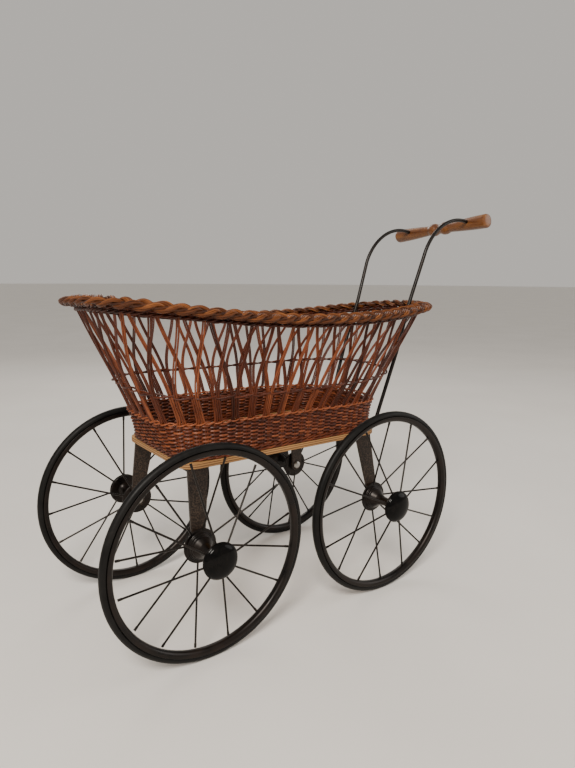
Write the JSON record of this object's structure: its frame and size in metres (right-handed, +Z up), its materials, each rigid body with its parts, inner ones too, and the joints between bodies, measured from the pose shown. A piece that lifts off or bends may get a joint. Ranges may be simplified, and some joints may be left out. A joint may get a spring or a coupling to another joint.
{
  "type": "doll pram",
  "caption": "Doll pram: flared openwork wicker basket with a plaited rim on a wooden board, flat steel legs, spoked wheels and a push handle of bent rods with a turned wooden grip.",
  "frame": {"origin": "on the floor, under the centre of the overall box", "axes": "+X towards the push handle, +Y to the right of someone who faces the front from behind the grip, along the axles, +Z up"},
  "size_m": [0.7018, 0.327, 0.5822],
  "materials": {
    "willow": "stained peeled willow, satin",
    "willow_rim": "lighter stained willow, satin",
    "plywood": "bare plywood, matte",
    "turned_wood": "varnished beech, satin",
    "hammertone": "dark grey-bronze hammered paint",
    "rod_steel": "dark lacquered steel rod, satin",
    "steel": "dull plated steel",
    "rubber": "black solid rubber, matte",
    "gloss_black": "black, high gloss"
  },
  "bodies": {
    "chassis": {"base_board": "plywood", "lower_weave": "willow", "stake_lattice": "willow", "rim_braid": "willow_rim", "leg_front_left": "hammertone", "leg_screw_front_left_1": "steel", "leg_screw_front_left_2": "steel", "axle_front_left": "steel", "washer_front_left": "steel", "axle_nut_front_left": "steel", "leg_front_right": "hammertone", "leg_screw_front_right_1": "steel", "leg_screw_front_right_2": "steel", "axle_front_right": "steel", "washer_front_right": "steel", "axle_nut_front_right": "steel", "leg_rear_left": "hammertone", "leg_screw_rear_left_1": "steel", "leg_screw_rear_left_2": "steel", "axle_rear_left": "steel", "washer_rear_left": "steel", "axle_nut_rear_left": "steel", "leg_rear_right": "hammertone", "leg_screw_rear_right_1": "steel", "leg_screw_rear_right_2": "steel", "axle_rear_right": "steel", "washer_rear_right": "steel", "axle_nut_rear_right": "steel", "handle_rod_left": "rod_steel", "handle_rod_right": "rod_steel", "handle_grip": "turned_wood", "rod_clip_1": "steel", "clip_screw_1": "steel", "rod_clip_2": "steel", "clip_screw_2": "steel", "rod_clip_3": "steel", "clip_screw_3": "steel", "rod_clip_4": "steel", "clip_screw_4": "steel"},
    "wheel_front_left": {"hub_front_left": "hammertone", "wheel_rim_front_left": "hammertone", "tyre_front_left": "rubber", "hub_cap_front_left": "gloss_black"},
    "wheel_front_right": {"hub_front_right": "hammertone", "wheel_rim_front_right": "hammertone", "tyre_front_right": "rubber", "hub_cap_front_right": "gloss_black"},
    "wheel_rear_left": {"hub_rear_left": "hammertone", "wheel_rim_rear_left": "hammertone", "tyre_rear_left": "rubber", "hub_cap_rear_left": "gloss_black"},
    "wheel_rear_right": {"hub_rear_right": "hammertone", "wheel_rim_rear_right": "hammertone", "tyre_rear_right": "rubber", "hub_cap_rear_right": "gloss_black"}
  },
  "joints": [
    {"name": "front_left_wheel_spin", "type": "hinge", "parent": "chassis", "child": "wheel_front_left", "pos_m": [-0.2109, -0.1285, 0.14], "axis": [0, 1, 0], "continuous": true},
    {"name": "front_right_wheel_spin", "type": "hinge", "parent": "chassis", "child": "wheel_front_right", "pos_m": [-0.2109, 0.1285, 0.14], "axis": [0, 1, 0], "continuous": true},
    {"name": "rear_left_wheel_spin", "type": "hinge", "parent": "chassis", "child": "wheel_rear_left", "pos_m": [0.0911, -0.1285, 0.14], "axis": [0, 1, 0], "continuous": true},
    {"name": "rear_right_wheel_spin", "type": "hinge", "parent": "chassis", "child": "wheel_rear_right", "pos_m": [0.0911, 0.1285, 0.14], "axis": [0, 1, 0], "continuous": true}
  ]
}
